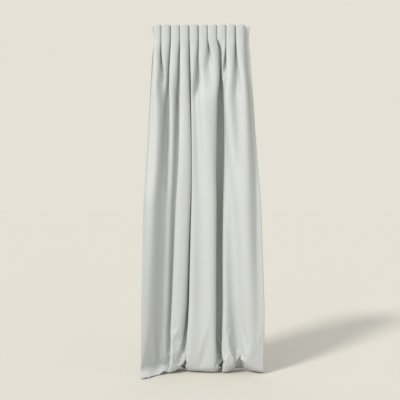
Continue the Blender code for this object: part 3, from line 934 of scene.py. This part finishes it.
def tube(name, path, radius, finish):
    """A braided tube along a path, its UV map turned so that the threads run slantwise."""
    path = np.array(path)
    ahead = np.gradient(path, axis=0)
    ahead /= np.linalg.norm(ahead, axis=1, keepdims=True)
    side = np.cross(ahead[0], (0, 0, 1))
    rings = []
    for here, forward in zip(path, ahead):
        side = side - forward * np.dot(side, forward)
        side /= np.linalg.norm(side)
        up = np.cross(forward, side)
        turns = np.linspace(0, math.tau, CORD_SIDES, endpoint=False)
        rings.append(here + radius * (np.cos(turns)[:, None] * side + np.sin(turns)[:, None] * up))
    count = len(rings)
    faces = []
    for ring in range(count - 1):
        for corner in range(CORD_SIDES):
            after = (corner + 1) % CORD_SIDES
            near, far = ring * CORD_SIDES, (ring + 1) * CORD_SIDES
            faces.append((near + corner, near + after, far + after, far + corner))
    faces.append(tuple(reversed(range(CORD_SIDES))))
    faces.append(tuple(range((count - 1) * CORD_SIDES, count * CORD_SIDES)))
    mesh = bpy.data.meshes.new(name)
    mesh.from_pydata(np.concatenate(rings).tolist(), [], faces)
    lengths = np.concatenate([[0], np.cumsum(np.linalg.norm(np.diff(path, axis=0), axis=1))])
    flat_map = mesh.uv_layers.new(name="flat")
    for face in mesh.polygons:
        at_corners = [vertex % CORD_SIDES for vertex in face.vertices]
        for loop in face.loop_indices:
            ring, corner = divmod(mesh.loops[loop].vertex_index, CORD_SIDES)
            if corner == 0 and CORD_SIDES - 1 in at_corners:
                corner = CORD_SIDES
            around = math.tau * radius * corner / CORD_SIDES
            flat_map.data[loop].uv = (lengths[ring] + around, lengths[ring] - around)
    mesh.polygons.foreach_set("use_smooth", [True] * len(mesh.polygons))
    mesh.materials.append(finish)
    made = bpy.data.objects.new(name, mesh)
    bpy.context.scene.collection.objects.link(made)
    return made


def knotted_end(end, centre, height, side):
    """The points of an overhand knot at a cord's end, from its run out to its short tail."""
    points = []
    for share in np.linspace(*KNOT_ENDS, KNOT_STEPS):
        turn = math.tau * share
        along = math.sin(turn) * KNOT_SWING + (share - 0.5) * KNOT_LENGTH
        up = (math.cos(turn) - 2 * math.cos(2 * turn)) / 3
        out = (math.sin(turn) + 2 * math.sin(2 * turn)) / 3
        points.append((
            end + side * KNOT_REACH * along,
            centre + KNOT_REACH * (KNOT_RISE + out * KNOT_DEPTH),
            height + KNOT_REACH * up,
        ))
    return points


centre = CREST_LINE + tape_back_lift + CORD_GAP + CORD_RADIUS
first, last = hook_middles[0] - KNOT_BEYOND_HOOK, hook_middles[-1] + KNOT_BEYOND_HOOK
run = np.arange(first + KNOT_ROOM, last - KNOT_ROOM, CORD_STEP)
for name, height in zip(CORDS, cord_heights):
    path = [(first - TAIL_LENGTH, centre, height - TAIL_DROP)]
    path += reversed(knotted_end(first, centre, height, -1))
    path += [(place, centre, height) for place in run]
    path += knotted_end(last, centre, height, 1)
    path += [(last + TAIL_LENGTH, centre, height - TAIL_DROP)]
    cord = tube(f"braided_{name}", path, CORD_RADIUS, braid)
    draws_with_panel(cord)
    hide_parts(name)


# ---------------------------------------------------------------------------------------
# The hooks: eleven white nylon hooks moulded in one piece, pushed up into the pockets from
# below.  Their crowns would hang in a rail's eyes.  The shapes stay as the frame has them.

nylon = bpy.data.materials.new("moulded_nylon")
nylon.use_nodes = True
nodes, links = nylon.node_tree.nodes, nylon.node_tree.links
shader = nodes["Principled BSDF"]
shader.inputs["Subsurface Weight"].default_value = 0.15
shader.inputs["Subsurface Radius"].default_value = (0.002, 0.002, 0.0018)
shader.inputs["IOR"].default_value = 1.53
where = nodes.new("ShaderNodeTexCoord")
flow = nodes.new("ShaderNodeTexNoise")
flow.inputs["Scale"].default_value = 260
flow.inputs["Detail"].default_value = 4
links.new(where.outputs["Object"], flow.inputs["Vector"])
milky = nodes.new("ShaderNodeMix")
milky.data_type = "RGBA"
milky.inputs[6].default_value = (0.80, 0.80, 0.77, 1)
milky.inputs[7].default_value = (0.88, 0.88, 0.86, 1)
links.new(flow.outputs["Fac"], milky.inputs[0])
links.new(milky.outputs[2], shader.inputs["Base Color"])
gloss = nodes.new("ShaderNodeMapRange")
gloss.inputs["To Min"].default_value = 0.28
gloss.inputs["To Max"].default_value = 0.46
links.new(flow.outputs["Fac"], gloss.inputs["Value"])
links.new(gloss.outputs["Result"], shader.inputs["Roughness"])
skin = nodes.new("ShaderNodeBump")
skin.inputs["Strength"].default_value = 0.25
skin.inputs["Distance"].default_value = 0.0001
links.new(flow.outputs["Fac"], skin.inputs["Height"])
links.new(skin.outputs["Normal"], shader.inputs["Normal"])
for number in range(1, HOOKS + 1):
    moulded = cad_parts[f"hook_{number:02d}"]
    for slot in moulded.material_slots:
        slot.material = nylon


# ---------------------------------------------------------------------------------------
# The care label: a blank loop of white satin ribbon 30 mm wide, its two ends sewn at the top
# to the back of the leading hem, near the foot.

LABEL_ARC = 0.012
LABEL_WIDTH = 0.030
LABEL_THICKNESS = 0.0004
LABEL_LIFT = hem_back_lift + 0.0004
LABEL_GAP = 0.0012
LABEL_ROWS = 9
LABEL_COLUMNS = 7
SEWN_LIFTS = (LABEL_LIFT + 0.0002, LABEL_LIFT + 0.0007)

ribbon = woven_finish(
    "satin_ribbon",
    colour=(0.86, 0.86, 0.85),
    shade=(0.80, 0.80, 0.79),
    roughness=0.42,
    sheen=0.3,
    pitches=(0.0005, 0.0009),
    slub=0.7,
    relief=0.00004,
)
label_low, label_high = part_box("care_label")
upper_depth, lower_depth = TOP - label_high[2], TOP - label_low[2]
down = np.linspace(upper_depth, lower_depth, LABEL_ROWS)
loop_depths = np.concatenate([down, down[::-1]])
loop_lifts = np.repeat([LABEL_LIFT, LABEL_LIFT + LABEL_GAP], LABEL_ROWS)
loop_lifts[[0, -1]] = SEWN_LIFTS
label_arcs = np.linspace(LABEL_ARC, LABEL_ARC + LABEL_WIDTH, LABEL_COLUMNS)
arcs_here, depths_here = np.meshgrid(label_arcs, loop_depths)
label_points = laid(arcs_here, depths_here, loop_lifts[:, None])
ribbon_steps = np.abs(np.diff(loop_depths)) + np.abs(np.diff(loop_lifts))
ribbon_lengths = np.concatenate([[0], np.cumsum(ribbon_steps)])
ribbon_places = flat_grid(label_arcs, ribbon_lengths)
label = laid_mesh("satin_care_label", label_points, ribbon_places, LABEL_THICKNESS, ribbon)
draws_with_panel(label)
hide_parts("care_label")
